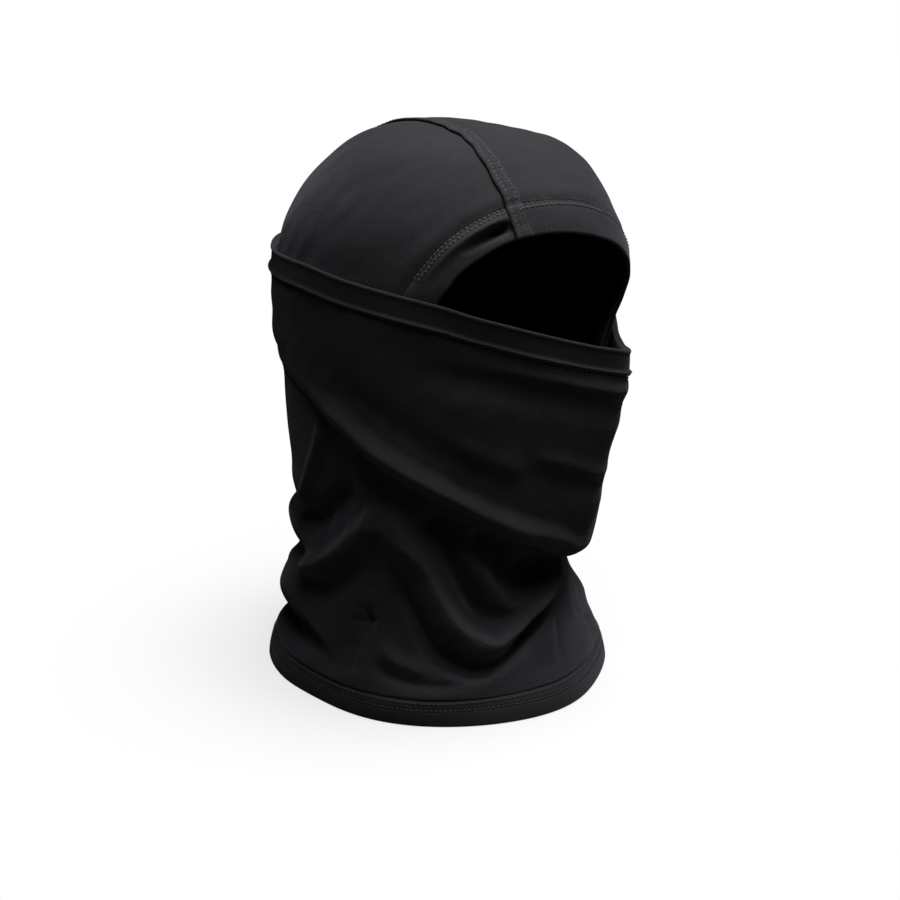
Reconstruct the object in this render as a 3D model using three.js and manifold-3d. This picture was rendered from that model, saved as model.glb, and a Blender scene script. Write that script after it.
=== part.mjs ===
// Full-coverage knit balaclava with a pull-down face mask, in the shape it has
// when worn. Millimetres, +Z up. The face looks along -Y and the wearer's right
// side is -X. Origin: centre of the hem's bottom plane.
//
// Points on the cloth are given by a girth angle in degrees (0 front, +90 left
// ear, 180 nape) and a level, which is z up to 226 and then follows the dome.
import * as THREE from 'three';
import { mergeVertices } from 'three/addons/utils/BufferGeometryUtils.js';
import Module from 'manifold-3d';

const { clamp, lerp, degToRad, radToDeg } = THREE.MathUtils;

// ---- driving dimensions -----------------------------------------------------
const CLOTH = 1.0;          // one layer of brushed stretch knit
const LINING = 0.7;         // thinner inner layer of the mask
const HEM_OUT = 0.8;        // how far a folded hem stands proud of the cloth
const HEM_IN = 1.5;         // how far it stands inside
const HEM_EDGE = 0.2;       // how far its long edges stand proud
const HEM_H = 13.4;         // height of the bottom hem
const MASK_HEM_H = 12.4;    // height of the mask's top hem
const THREAD = 0.6;         // width of sewing thread, as a flat bar
const GAP = 0.4;            // clearance between neighbouring pieces
const HALF_CUT = 0.15;      // degrees from a side seam to the panel edge beside it
const FELL_W = 6.0;         // width of the felled crown seam
const TAPE_W = 9.0;         // width of the inside tape on the side seams
const NOSE_R = 7.0;         // roundness of the mask over the nose and chin
const EAR = 93.0;           // girth angle where the mask front ends

// ---- measured tables --------------------------------------------------------
const APEX = { level: 342.5, y: 8, z: 285.1 };
// Hood and neck sections: level, z, centre y, front depth, back depth, half width.
const HOOD = [
  [0, 0, 6.2, 91.5, 94.5, 84], [15, 15, 6, 85, 92.5, 82.5],
  [30, 30, 5, 75.5, 88, 78], [50, 50, 4, 66, 86, 73],
  [70, 70, 4, 61.5, 84, 70.5], [90, 90, 4, 65, 81.8, 70],
  [110, 110, 4, 71, 83, 71], [130, 130, 3, 75, 85.5, 72.5],
  [150, 150, 2, 76, 88, 75], [170, 170, 1, 77, 89, 75.5],
  [190, 190, 0, 81, 90, 76.5], [205, 205, 0, 87, 91.5, 76.8],
  [216, 216, 0, 90, 91.5, 76], [226.1, 226, 0, 89.5, 90, 74],
  [236.5, 236, 0, 86.5, 86.5, 71.5], [247.5, 246, 0, 82, 81, 67.5],
  [259.4, 256, 0.5, 76.5, 73.2, 61.5], [273.2, 265.5, 1.5, 68, 62, 53.5],
  [289.7, 274.8, 3, 54, 48, 43], [305.9, 280.2, 4.5, 38, 34, 30.5],
  [322.4, 283.4, 6, 20, 19, 17], [APEX.level, APEX.z, APEX.y, 0, 0, 0],
];
// Mask sections, a little outside the hood. Same columns, then the depth of the point
// where the cloth would meet in front: it is stretched straight from there to the cheeks.
const MASK = [
  [40, 40, 3, 60, 84, 70, 60], [50, 50, 3, 62, 85, 70.5, 66],
  [65, 65, 3, 65, 86, 72, 78], [80, 80, 3, 68.5, 86.3, 73.5, 89.5],
  [100, 100, 3, 73.5, 87, 74.5, 95], [120, 120, 2, 77, 88.5, 75.5, 97],
  [140, 140, 1, 80, 90, 77, 100.5], [160, 160, 0, 82.5, 92.3, 78.5, 105],
  [185, 185, 0, 85.5, 93.3, 79.9, 105], [205, 205, 0, 88.8, 94.3, 80, 102],
  [226, 226, 0, 91.5, 93.5, 78.2, 98],
];
// Seam that joins hood, mask and neck, alike on both sides: angle from the front, level.
const JOINING_SEAM = [
  [0, 73.5], [5, 75], [11, 81], [19, 87.5], [28, 93.8], [38, 100.8], [52, 111], [65, 121.5],
  [77, 131.5], [88, 141], [96, 148.5], [107, 156], [117, 161], [126, 164.5], [150, 167], [180, 168],
];
// Side seams of the neck, which lean back towards the hem: level, angle.
const SIDE_SEAM = [[0, 90.6], [25, 90.4], [47, 87.6], [80, 84.2], [105, 82], [140, 80]];
// Top edge of the mask, lower on the wearer's left: angle, level.
const MASK_RIM = [
  [-180, 223], [-142, 222.9], [-114, 223.2], [-91.3, 218.8], [-74.7, 215.2], [-62.8, 211.5],
  [-52.6, 207.1], [-42.8, 203.3], [-32.4, 198.4], [-22.4, 193.6], [-13.3, 189.4], [-5.5, 186.2],
  [0, 184], [5, 182.5], [10, 181], [17, 179.5], [25, 180], [35, 184], [45, 194], [55, 201],
  [66, 207.8], [77, 213.5], [92, 218], [114, 222.5], [142, 222.9], [180, 223],
];
// Edge of the eye opening, from right to left: angle, level.
const EYE_EDGE = [
  [-66.5, 197], [-66.5, 206], [-65, 214.7], [-62.5, 220.2], [-60.2, 225.7], [-55.6, 231.6],
  [-49.2, 237.4], [-44, 240.9], [-39.4, 242.9], [-29.2, 244.5], [-16.3, 243.5], [-5, 239.8],
  [4, 234.8], [10, 228], [14.5, 220.5], [17.5, 213], [19.8, 205], [21, 197], [21.5, 186], [22, 174],
];
// Stitch line around it, knot for knot: angle, level.
const STITCH = [
  [-76.5, 197], [-76.5, 207], [-75.7, 216.2], [-73.5, 222.5], [-70.9, 228.6], [-64.8, 239.3],
  [-57.9, 247.6], [-49, 254.4], [-40.4, 258.4], [-28, 260], [-14.8, 259.2], [-1.6, 255],
  [10.5, 246.5], [19, 237], [25.2, 227], [29.4, 216.5], [31.8, 206.5], [32.2, 197], [32.4, 186],
  [32.5, 174],
];
const LAST_KNOT = EYE_EDGE.length - 1;
const CROWN_KNOT = 8;       // knot of both lines where the crown seam crosses the brow
// Crown seam seen from above, from right of the face to behind the crown: y, x.
const CROWN_SEAM = [
  [-120, -62], [-64.4, -43.4], [-51.6, -38.2], [-35.4, -29.3], [-17.6, -18.5],
  [5.3, -9.4], [30, -1.5], [60, 5], [90, 9.5], [130, 13],
];

// ---- surfaces ---------------------------------------------------------------
// Monotone cubic interpolation of a table whose first column rises.
function curve(table) {
  const count = table.length;
  const knots = table.map((row) => row[0]);
  const columns = table[0].slice(1).map((_, column) => {
    const values = table.map((row) => row[column + 1]);
    const steps = [];
    const slopes = [];
    for (let i = 0; i < count - 1; i++) {
      steps.push(knots[i + 1] - knots[i]);
      slopes.push((values[i + 1] - values[i]) / steps[i]);
    }
    const tangents = new Array(count).fill(0);
    tangents[0] = slopes[0];
    tangents[count - 1] = slopes[count - 2];
    for (let i = 1; i < count - 1; i++) {
      if (slopes[i - 1] * slopes[i] <= 0) continue;      // flat at a turning point
      const before = 2 * steps[i] + steps[i - 1];
      const after = steps[i] + 2 * steps[i - 1];
      tangents[i] = (before + after) / (before / slopes[i - 1] + after / slopes[i]);
    }
    return { values, steps, tangents };
  });
  return (position) => {
    const x = clamp(position, knots[0], knots[count - 1]);
    let i = 0;
    while (i < count - 2 && x > knots[i + 1]) i++;
    return columns.map(({ values, steps, tangents }) => {
      const s = (x - knots[i]) / steps[i];
      const s2 = s * s;
      const s3 = s2 * s;
      return (2 * s3 - 3 * s2 + 1) * values[i] + (s3 - 2 * s2 + s) * steps[i] * tangents[i]
        + (3 * s2 - 2 * s3) * values[i + 1] + (s3 - s2) * steps[i] * tangents[i + 1];
    });
  };
}
function curve1(table) {              // the same for a table of two columns
  const valuesAt = curve(table);
  return (position) => valuesAt(position)[0];
}
const hood = curve(HOOD);
const mask = curve(MASK);
const sideAngle = curve1(SIDE_SEAM);
const crownX = curve1(CROWN_SEAM);
const seamByTurn = curve1(JOINING_SEAM);
const rimByTurn = curve1(MASK_RIM);
const signedAngle = (angle) => ((((angle + 180) % 360) + 360) % 360) - 180;
const seamLevel = (angle) => seamByTurn(Math.abs(signedAngle(angle)));
const rimLevel = (angle) => rimByTurn(signedAngle(angle));

// Point of a surface, which is hood or mask.
function pointOn(surface, angle, level) {
  const [z, centreY, front, back, halfWidth, nose] = surface(level);
  const cosine = Math.cos(degToRad(angle));
  const x = halfWidth * Math.sin(degToRad(angle));
  let depth = (cosine > 0 ? front : back) * cosine;
  if (cosine > 0 && nose > front * 1.01) {
    // straight stretch from the nose to where it is tangent to the cheek
    const cheekDepth = front * front / nose;
    const cheekX = halfWidth * Math.sqrt(1 - (cheekDepth / front) ** 2);
    const slope = (nose - cheekDepth) / cheekX;
    if (Math.abs(x) < cheekX) depth = Math.max(depth, nose - slope * Math.hypot(x, NOSE_R));
  }
  return new THREE.Vector3(x, centreY - depth, z);
}
const alongGirth = (surface, angle, level) =>
  pointOn(surface, angle + 0.5, level).sub(pointOn(surface, angle - 0.5, level));
function normalOn(surface, angle, level) {
  if (surface === hood && level > 338) return new THREE.Vector3(0, 0, 1);   // next to the apex
  const upward = pointOn(surface, angle, level + 0.8).sub(pointOn(surface, angle, level - 0.8));
  return alongGirth(surface, angle, level).cross(upward).normalize();
}
const raised = (surface, angle, level, distance) =>
  pointOn(surface, angle, level).addScaledVector(normalOn(surface, angle, level), distance);

// ---- materials and mesh builders ----------------------------------------------
const blackKnit = (name, grey) => new THREE.MeshStandardMaterial({
  name,
  color: new THREE.Color(grey, grey, grey * 1.1),        // faintly blue
  roughness: 0.9,
  metalness: 0,
});
const CLOTH_MAT = blackKnit('knit', 0.018);
const HEM_MAT = blackKnit('hem', 0.014);
const THREAD_MAT = blackKnit('thread', 0.03);
const LINING_MAT = blackKnit('lining', 0.022);

const object = new THREE.Group();
function add(name, geometry, material) {
  geometry.computeVertexNormals();
  const mesh = new THREE.Mesh(geometry, material);
  mesh.name = name;
  object.add(mesh);
}

// Merges corners, drops empty triangles and makes every face look out.
function closed(geometry) {
  geometry.deleteAttribute('normal');
  geometry.deleteAttribute('uv');
  const merged = mergeVertices(geometry, 1e-4);
  const index = merged.index.array;
  const corner = (i) => new THREE.Vector3().fromBufferAttribute(merged.attributes.position, i);
  const kept = [];
  let volume = 0;
  for (let i = 0; i < index.length; i += 3) {
    const [a, b, c] = index.slice(i, i + 3);
    if (a === b || b === c || a === c) continue;
    volume += corner(a).dot(corner(b).cross(corner(c)));
    kept.push(a, b, c);
  }
  if (volume < 0) {
    for (let i = 0; i < kept.length; i += 3) {
      [kept[i + 1], kept[i + 2]] = [kept[i + 2], kept[i + 1]];
    }
  }
  merged.setIndex(kept);
  return merged;
}
// Moves every vertex i to placeVertex(i, position).
function bent(geometry, placeVertex) {
  const { position } = geometry.attributes;
  for (let i = 0; i < position.count; i++) {
    const { x, y, z } = placeVertex(i, position);
    position.setXYZ(i, x, y, z);
  }
  return closed(geometry);
}
// A thin sheet: a box of columns x rows cells, bent to pointAt(s, t, outer).
const sheet = (columns, rows, pointAt) =>
  bent(new THREE.BoxGeometry(1, 1, 1, columns, rows, 1), (i, position) =>
    pointAt(position.getX(i) + 0.5, position.getY(i) + 0.5, position.getZ(i) > 0));
// A closed ring of thread around the hood at levelAt(angle).
function threadRing(levelAt, outside, inside) {
  const segments = 46;
  const geometry = new THREE.TorusGeometry(10, 1, 4, segments);
  const { uv } = geometry.attributes;
  return bent(geometry, (i) => {
    const corner = Math.round(uv.getY(i) * 4) % 4;       // 0 and 1 are the outer corners
    const angle = (Math.round(uv.getX(i) * segments) % segments) * 360 / segments;
    const across = corner === 0 || corner === 3 ? 0.5 : -0.5;
    const level = levelAt(angle) + across * THREAD;
    return raised(hood, angle, level, corner < 2 ? outside : inside);
  });
}
// A line of thread laid at a height above a surface along pathAt(s) = [angle, level].
const threadLine = (surface, segments, height, pathAt) => sheet(segments, 1, (s, t, outer) => {
  const [angle, level] = pathAt(s);
  const distance = height + (outer ? THREAD * 0.8 : 0);
  return raised(surface, angle, level + (t - 0.5) * THREAD, distance);
});
// Bulge across a folded edge, 1 in the middle and held level near both sides.
const swell = (t, margin) => Math.sin(Math.PI * clamp(t, margin, 1 - margin));
const hemOutside = (t) => lerp(HEM_EDGE, HEM_OUT, swell(t, 0.1));

// ---- crown: one dome shell, cut for the face, then split at the crown seam ----
const wasm = await Module();
wasm.setup();
const toSolid = (geometry) => new wasm.Manifold(new wasm.Mesh({
  numProp: 3,
  vertProperties: new Float32Array(geometry.attributes.position.array),
  triVerts: new Uint32Array(geometry.index.array),
}));
function toGeometry(solid) {
  const { vertProperties, triVerts } = solid.getMesh();
  const geometry = new THREE.BufferGeometry();
  const position = new THREE.BufferAttribute(new Float32Array(vertProperties), 3);
  geometry.setAttribute('position', position);
  geometry.setIndex(Array.from(triVerts));
  return geometry;
}
// Hood above the joining seam: its edge is raised by rise, its underside runs to z = floor.
function dome({ distance, rise, floor }) {
  const columns = 40;
  const rows = 15;
  const topLevel = 332;               // first ring below the apex
  const geometry = new THREE.SphereGeometry(1, columns, rows);
  const { uv } = geometry.attributes;
  return toSolid(bent(geometry, (i) => {
    const row = Math.round((1 - uv.getY(i)) * rows);
    if (row === 0) return new THREE.Vector3(0, APEX.y, APEX.z + distance);
    if (row === rows) return new THREE.Vector3(0, 4, floor);
    const angle = 180 - (Math.round(uv.getX(i) * columns) % columns) * 360 / columns;
    const down = Math.pow((row - 1) / (rows - 2), 0.92);
    return raised(hood, angle, lerp(topLevel, seamLevel(angle) + rise, down), distance);
  }));
}
// Cutter for the face, bounded above just outside the stitch line.
function faceCutter() {
  const rightCheek = -77.2;           // both a little outside the brow band
  const leftCheek = 33.0;
  const bottom = 60;
  const margin = 0.9;                 // above the stitch line
  const reach = 14;                   // to each side of the cloth
  const first = 2;                    // the knots used; those beyond lie on the cheeks
  const last = STITCH.length - 3;
  const stitchLevel = (angle) => {
    const x = clamp(angle, STITCH[first][0], STITCH[last][0]);
    const i = STITCH.findIndex(([knotAngle]) => x <= knotAngle);
    const [angle0, level0] = STITCH[i - 1];
    const [angle1, level1] = STITCH[i];
    return level0 + (level1 - level0) * (x - angle0) / (angle1 - angle0);
  };
  const angles = [rightCheek];
  for (let i = first; i <= last; i++) {
    const start = STITCH[i][0];
    const width = STITCH[i + 1][0] - start;
    const parts = width > 7 ? 4 : 2;
    for (let k = 0; k < parts; k++) angles.push(start + width * k / parts);
  }
  angles.push(leftCheek);
  const columns = angles.length - 1;
  return toSolid(sheet(columns, 8, (s, t, outer) => {
    const angle = angles[Math.round(s * columns)];
    const top = stitchLevel(angle) + margin;
    return raised(hood, angle, bottom + (top - bottom) * t, outer ? reach : -reach);
  }));
}
// Upright prism on one side of the crown seam: -1 right, 1 left.
function besideCrownSeam(sign) {
  const [yFront, yBack] = [-120, 130];
  const halfGap = 0.25;
  const farX = sign * 160;
  const outline = [];
  for (let y = yFront; y <= yBack; y += 5) {
    outline.push(new THREE.Vector2(crownX(y) + sign * halfGap, y));
  }
  outline.push(new THREE.Vector2(farX, yBack), new THREE.Vector2(farX, yFront));
  const options = { depth: 330, bevelEnabled: false };
  const geometry = new THREE.ExtrudeGeometry(new THREE.Shape(outline), options);
  geometry.translate(0, 0, -10);
  return toSolid(closed(geometry));
}
const crown = dome({ distance: 0, rise: 0.7, floor: 110 })
  .subtract(dome({ distance: -CLOTH, rise: -40, floor: 20 }))
  .subtract(faceCutter());
add('crown_panel_right', toGeometry(crown.intersect(besideCrownSeam(-1))), CLOTH_MAT);
add('crown_panel_left', toGeometry(crown.intersect(besideCrownSeam(1))), CLOTH_MAT);

// ---- felled crown seam with its two rows of thread --------------------------
// Angle and level of the dome point above (x, y), found by bisection.
function domeAt(x, y) {
  const scaled = (level) => {         // (x, y) as fractions of the section's half axes
    const [, centreY, front, back, halfWidth] = hood(level);
    const depth = centreY - y;
    return [x / halfWidth, depth / (depth > 0 ? front : back)];
  };
  let low = 215;
  let high = APEX.level;
  for (let i = 0; i < 40; i++) {
    const middle = (low + high) / 2;
    const [across, forward] = scaled(middle);
    if (across ** 2 + forward ** 2 < 1) low = middle;
    else high = middle;
  }
  return [radToDeg(Math.atan2(...scaled(low))), low];
}
// Point above the seam at s, shifted sideways towards the wearer's left.
function onCrownSeam(s, shift, distance) {
  const y = lerp(-54, 86, s);
  const slope = (crownX(y + 1) - crownX(y - 1)) / 2;
  const length = Math.hypot(1, slope);
  const [angle, level] = domeAt(crownX(y) + shift / length, y - shift * slope / length);
  return raised(hood, angle, level, distance);
}
const CROWN_SEAM_CELLS = 22;
add('crown_seam_fell', sheet(CROWN_SEAM_CELLS, 1, (s, t, outer) =>
  onCrownSeam(s, 0.8 - (t - 0.5) * FELL_W, outer ? 1.3 : 0.6)), HEM_MAT);
for (const [row, shift] of [['inner', -1.1], ['outer', 2.2]]) {
  add(`crown_seam_thread_${row}`, sheet(CROWN_SEAM_CELLS, 1, (s, t, outer) =>
    onCrownSeam(lerp(0.006, 0.994, s), shift - (t - 0.5) * THREAD, outer ? 2.15 : 1.7)),
  THREAD_MAT);
}

// ---- brow band: the folded edge of the eye opening --------------------------
// [angle, level] at a fractional knot, from the eye edge (t = 0) to the stitch line (t = 1).
function bandPoint(knot, t) {
  const i = clamp(Math.floor(knot), 0, LAST_KNOT - 1);
  return [0, 1].map((column) => {
    const along = (line) => lerp(line[i][column], line[i + 1][column], knot - i);
    return lerp(along(EYE_EDGE), along(STITCH), t);
  });
}
const browBand = (fromKnot, toKnot, columns) => sheet(columns, 3, (s, t, outer) => {
  const [angle, level] = bandPoint(lerp(fromKnot, toKnot, s), t);
  const bulge = swell(t, 0.08);
  return raised(hood, angle, level, outer ? 0.1 + 0.5 * bulge : -HEM_IN - 0.2 * bulge);
});
const browThread = (fromKnot, toKnot, segments, t) =>
  threadLine(hood, segments, 1.0, (s) => bandPoint(lerp(fromKnot, toKnot, s), t));
add('brow_band_right', browBand(0, CROWN_KNOT - 0.03, 16), HEM_MAT);
add('brow_band_left', browBand(CROWN_KNOT + 0.03, LAST_KNOT, 24), HEM_MAT);
for (const [row, t] of [['upper', 0.94], ['lower', 0.78]]) {
  add(`brow_thread_${row}_right`, browThread(3.4, CROWN_KNOT - 0.2, 10, t), THREAD_MAT);
  add(`brow_thread_${row}_left`,
    browThread(CROWN_KNOT + 0.2, LAST_KNOT - 1.4, 18, t), THREAD_MAT);
}

// ---- mask: outer panels, lining, folded top hem -------------------------------
const LIP = 0.16;                     // share of the mask's rows in the curled lip
const MASK_ROWS = [0, 0.055, 0.11, LIP, 0.28, 0.42, 0.56, 0.7, 0.85, 1];
const LINING_ROWS = [0.22, ...MASK_ROWS.slice(4, -1), 0.985];
const FRONT_COLUMNS = 28;
function frontAngle(column) {         // columns are closer together at the nose
  const u = 2 * column / FRONT_COLUMNS - 1;
  return (EAR - HALF_CUT) * u * (0.5 + 0.5 * Math.abs(u));
}
// Point of the mask at t: 0 at the joining seam, a curled lip, then up to the hem.
function maskAt(angle, t, distance) {
  const seam = seamLevel(angle);
  const lipTop = seam + 7;
  if (t >= LIP) {
    const top = rimLevel(angle) - MASK_HEM_H - 0.5;
    return raised(mask, angle, lerp(lipTop, top, (t - LIP) / (1 - LIP)), distance);
  }
  const q = t / LIP;
  const lip = new THREE.QuadraticBezierCurve3(
    raised(hood, angle, seam, 1.9),
    pointOn(mask, angle, seam - 1),
    pointOn(mask, angle, lipTop),
  );
  const tangent = lip.getPoint(Math.min(1, q + 0.02))
    .sub(lip.getPoint(Math.max(0, q - 0.02))).normalize();
  const normal = alongGirth(mask, angle, seam).normalize().cross(tangent).normalize()
    .lerp(normalOn(mask, angle, lipTop), q * q).normalize();
  return lip.getPoint(q).addScaledVector(normal, distance);
}
const maskSheet = (columns, angleAt, rows, outside, inside) =>
  sheet(columns, rows.length - 1, (s, t, outer) =>
    maskAt(angleAt(s), rows[Math.round(t * (rows.length - 1))], outer ? outside : inside));
const backAngle = (s, margin) => lerp(EAR + margin, 360 - EAR - margin, s);
const MASK_HALVES = [
  {
    half: 'front',
    columns: FRONT_COLUMNS,
    thickness: CLOTH,
    angleAt: (s) => frontAngle(s * FRONT_COLUMNS),
    threadAngleAt: (s) => frontAngle(s * FRONT_COLUMNS) * 0.996,
  },
  {
    half: 'back',
    columns: 22,
    thickness: CLOTH * 0.9,
    angleAt: (s) => backAngle(s, HALF_CUT),
    threadAngleAt: (s) => backAngle(s, 0.5),
  },
];
for (const { half, columns, thickness, angleAt } of MASK_HALVES) {
  add(`mask_panel_${half}`, maskSheet(columns, angleAt, MASK_ROWS, 0, -thickness), CLOTH_MAT);
}
// The lining leaves out one column at each end of the front.
const LINING_COLUMNS = FRONT_COLUMNS - 2;
add('mask_lining', maskSheet(LINING_COLUMNS, (s) => frontAngle(1 + s * LINING_COLUMNS),
  LINING_ROWS, -CLOTH - GAP, -CLOTH - GAP - LINING), LINING_MAT);
for (const { half, columns, angleAt } of MASK_HALVES) {
  add(`mask_hem_${half}`, sheet(columns, 3, (s, t, outer) => {
    const angle = angleAt(s);
    const level = rimLevel(angle) - MASK_HEM_H * (1 - t);
    return raised(mask, angle, level, outer ? hemOutside(t) : -HEM_IN + 0.1);
  }), HEM_MAT);
}
for (const { half, columns, threadAngleAt } of MASK_HALVES) {
  add(`mask_hem_thread_${half}`, threadLine(mask, columns, 1.25, (s) => {
    const angle = threadAngleAt(s);
    return [angle, rimLevel(angle) - MASK_HEM_H + 1.6];
  }), THREAD_MAT);
}

// ---- neck: front and back panels, side seam tapes, joining thread -------------
const NECK_HALVES = [['front', 24], ['back', 22]];       // name, columns
// Angle at share s of a half's width between the side seams.
function neckAngle(half, level, s) {
  const seam = sideAngle(level);
  return half === 'back'
    ? lerp(seam + HALF_CUT, 360 - seam - HALF_CUT, s)
    : lerp(-seam + HALF_CUT, seam - HALF_CUT, s);
}
for (const [half, columns] of NECK_HALVES) {
  add(`neck_panel_${half}`, sheet(columns, 6, (s, t, outer) => {
    // the column's top is taken at its angle at level 120
    const top = seamLevel(neckAngle(half, 120, s)) - 1.4;
    const level = lerp(HEM_H + 2 * GAP, top, t);
    return raised(hood, neckAngle(half, level, s), level, outer ? 0 : -CLOTH);
  }), CLOTH_MAT);
}
const TAPE_ANGLE = radToDeg(TAPE_W / 74);                // width as an angle at radius 74
for (const [name, sign] of [['right', -1], ['left', 1]]) {
  add(`side_seam_tape_${name}`, sheet(2, 8, (s, t, outer) => {
    const level = lerp(HEM_H + 1.6, 128, t);
    const angle = sign * sideAngle(level) + (s - 0.5) * TAPE_ANGLE;
    return raised(hood, angle, level, -CLOTH - 0.5 - (outer ? 0 : LINING));
  }), HEM_MAT);
}
add('joining_seam_thread', threadRing((angle) => seamLevel(angle) - 3.6, 1.15, 0.6), THREAD_MAT);

// ---- bottom hem and its two rows of thread ------------------------------------
for (const [half, columns] of NECK_HALVES) {
  add(`hem_band_${half}`, sheet(columns, 3, (s, t, outer) => {
    const z = HEM_H * t;
    const distance = outer ? hemOutside(t) : -HEM_IN;
    return raised(hood, neckAngle(half, 0, s), z, distance).setZ(z);   // keeps the edges flat
  }), HEM_MAT);
}
for (const [row, z] of [['upper', 12.2], ['lower', 9.2]]) {
  add(`hem_thread_${row}`, threadRing(() => z, 1.75, 1.25), THREAD_MAT);
}

export default object;
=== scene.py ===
# Stretch-knit balaclava: a crown of two panels, a brow band round the face opening, a mask and a
# neck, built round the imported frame. It stands on z = 0; the face looks to -Y and the wearer's
# left is +X. Lengths are millimetres until a mesh, light or camera is written, in metres.
# Every surface is addressed by two numbers: the angle round the head in degrees (0 at the face,
# +90 at the wearer's left ear, 180 at the nape) and the level, mm up the cloth from the hem.
import math

import bpy
import numpy as np
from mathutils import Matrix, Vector


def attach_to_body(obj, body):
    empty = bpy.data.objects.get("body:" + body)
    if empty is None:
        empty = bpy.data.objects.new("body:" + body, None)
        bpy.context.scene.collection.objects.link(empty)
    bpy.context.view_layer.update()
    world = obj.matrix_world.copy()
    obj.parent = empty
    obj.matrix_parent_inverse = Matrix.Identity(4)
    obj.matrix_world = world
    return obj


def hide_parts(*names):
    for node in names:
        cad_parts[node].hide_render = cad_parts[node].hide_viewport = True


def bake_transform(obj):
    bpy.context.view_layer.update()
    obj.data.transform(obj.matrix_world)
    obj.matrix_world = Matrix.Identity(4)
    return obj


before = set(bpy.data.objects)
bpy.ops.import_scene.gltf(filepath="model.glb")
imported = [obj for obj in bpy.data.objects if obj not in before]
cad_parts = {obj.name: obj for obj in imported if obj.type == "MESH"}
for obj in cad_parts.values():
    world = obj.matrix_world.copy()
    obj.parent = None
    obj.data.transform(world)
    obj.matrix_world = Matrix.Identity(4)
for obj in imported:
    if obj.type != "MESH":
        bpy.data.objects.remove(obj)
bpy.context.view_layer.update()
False   # every count below is fixed

# ---------------------------------------------------------------- design tables
# Sections: level, z, centre y, half depth in front, half depth behind, half width
HOOD = [
    [0, 0, 6.2, 91.5, 94.5, 84], [15, 15, 6, 85, 92.5, 82.5], [30, 30, 5, 75.5, 88, 78],
    [50, 50, 4, 66, 86, 73], [70, 70, 4, 61.5, 84, 70.5], [90, 90, 4, 65, 81.8, 70],
    [110, 110, 4, 71, 83, 71], [130, 130, 3, 75, 85.5, 72.5], [150, 150, 2, 76, 88, 75],
    [170, 170, 1, 77, 89, 75.5], [190, 190, 0, 81, 90, 76.5], [205, 205, 0, 87, 91.5, 76.8],
    [216, 216, 0, 90, 91.5, 76], [226.1, 226, 0, 89.5, 90, 74], [236.5, 236, 0, 86.5, 86.5, 71.5],
    [247.5, 246, 0, 82, 81, 67.5], [259.4, 256, 0.5, 76.5, 73.2, 61.5],
    [273.2, 265.5, 1.5, 68, 62, 53.5], [289.7, 274.8, 3, 54, 48, 43],
    [305.9, 280.2, 4.5, 38, 34, 30.5], [322.4, 283.4, 6, 20, 19, 17], [342.5, 285.1, 8, 0, 0, 0]]
# The same, and last how far forward the cloth is stretched
MASK = [
    [40, 40, 3, 60, 84, 70, 60], [50, 50, 3, 62, 85, 70.5, 66], [65, 65, 3, 65, 86, 72, 78],
    [80, 80, 3, 68.5, 86.3, 73.5, 89.5], [100, 100, 3, 73.5, 87, 74.5, 95],
    [120, 120, 2, 77, 88.5, 75.5, 97], [140, 140, 1, 80, 90, 77, 100.5],
    [160, 160, 0, 82.5, 92.3, 78.5, 105], [185, 185, 0, 85.5, 93.3, 79.9, 105],
    [205, 205, 0, 88.8, 94.3, 80, 102], [226, 226, 0, 91.5, 93.5, 78.2, 98]]
# Seam joining the mask to the neck: angle on either side of the face, level
JOINING_SEAM = [
    [0, 73.5], [5, 75], [11, 81], [19, 87.5], [28, 93.8], [38, 100.8], [52, 111], [65, 121.5],
    [77, 131.5], [88, 141], [96, 148.5], [107, 156], [117, 161], [126, 164.5], [150, 167], [180, 168]]
# Top rim of the mask: angle, level
MASK_RIM = [
    [-180, 223], [-142, 222.9], [-114, 223.2], [-91.3, 218.8], [-74.7, 215.2], [-62.8, 211.5],
    [-52.6, 207.1], [-42.8, 203.3], [-32.4, 198.4], [-22.4, 193.6], [-13.3, 189.4], [-5.5, 186.2],
    [0, 184], [5, 182.5], [10, 181], [17, 179.5], [25, 180], [35, 184], [45, 194], [55, 201],
    [66, 207.8], [77, 213.5], [92, 218], [114, 222.5], [142, 222.9], [180, 223]]
# Brow band from the wearer's right to left, knot by knot: its free edge and its stitch line, as
# angle, level
BROW_EDGE = [
    [-66.5, 197], [-66.5, 206], [-65, 214.7], [-62.5, 220.2], [-60.2, 225.7], [-55.6, 231.6],
    [-49.2, 237.4], [-44, 240.9], [-39.4, 242.9], [-29.2, 244.5], [-16.3, 243.5], [-5, 239.8],
    [4, 234.8], [10, 228], [14.5, 220.5], [17.5, 213], [19.8, 205], [21, 197], [21.5, 186], [22, 174]]
BROW_STITCH = [
    [-76.5, 197], [-76.5, 207], [-75.7, 216.2], [-73.5, 222.5], [-70.9, 228.6], [-64.8, 239.3],
    [-57.9, 247.6], [-49, 254.4], [-40.4, 258.4], [-28, 260], [-14.8, 259.2], [-1.6, 255],
    [10.5, 246.5], [19, 237], [25.2, 227], [29.4, 216.5], [31.8, 206.5], [32.2, 197], [32.4, 186],
    [32.5, 174]]
# Crown seam seen from above: y, x
CROWN_SEAM = [
    [-120, -62], [-64.4, -43.4], [-51.6, -38.2], [-35.4, -29.3], [-17.6, -18.5], [5.3, -9.4],
    [30, -1.5], [60, 5], [90, 9.5], [130, 13]]
# Side seams of the neck: level, angle on either side of the face
SIDE_SEAM = [[0, 90.6], [25, 90.4], [47, 87.6], [80, 84.2], [105, 82], [140, 80]]

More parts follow.
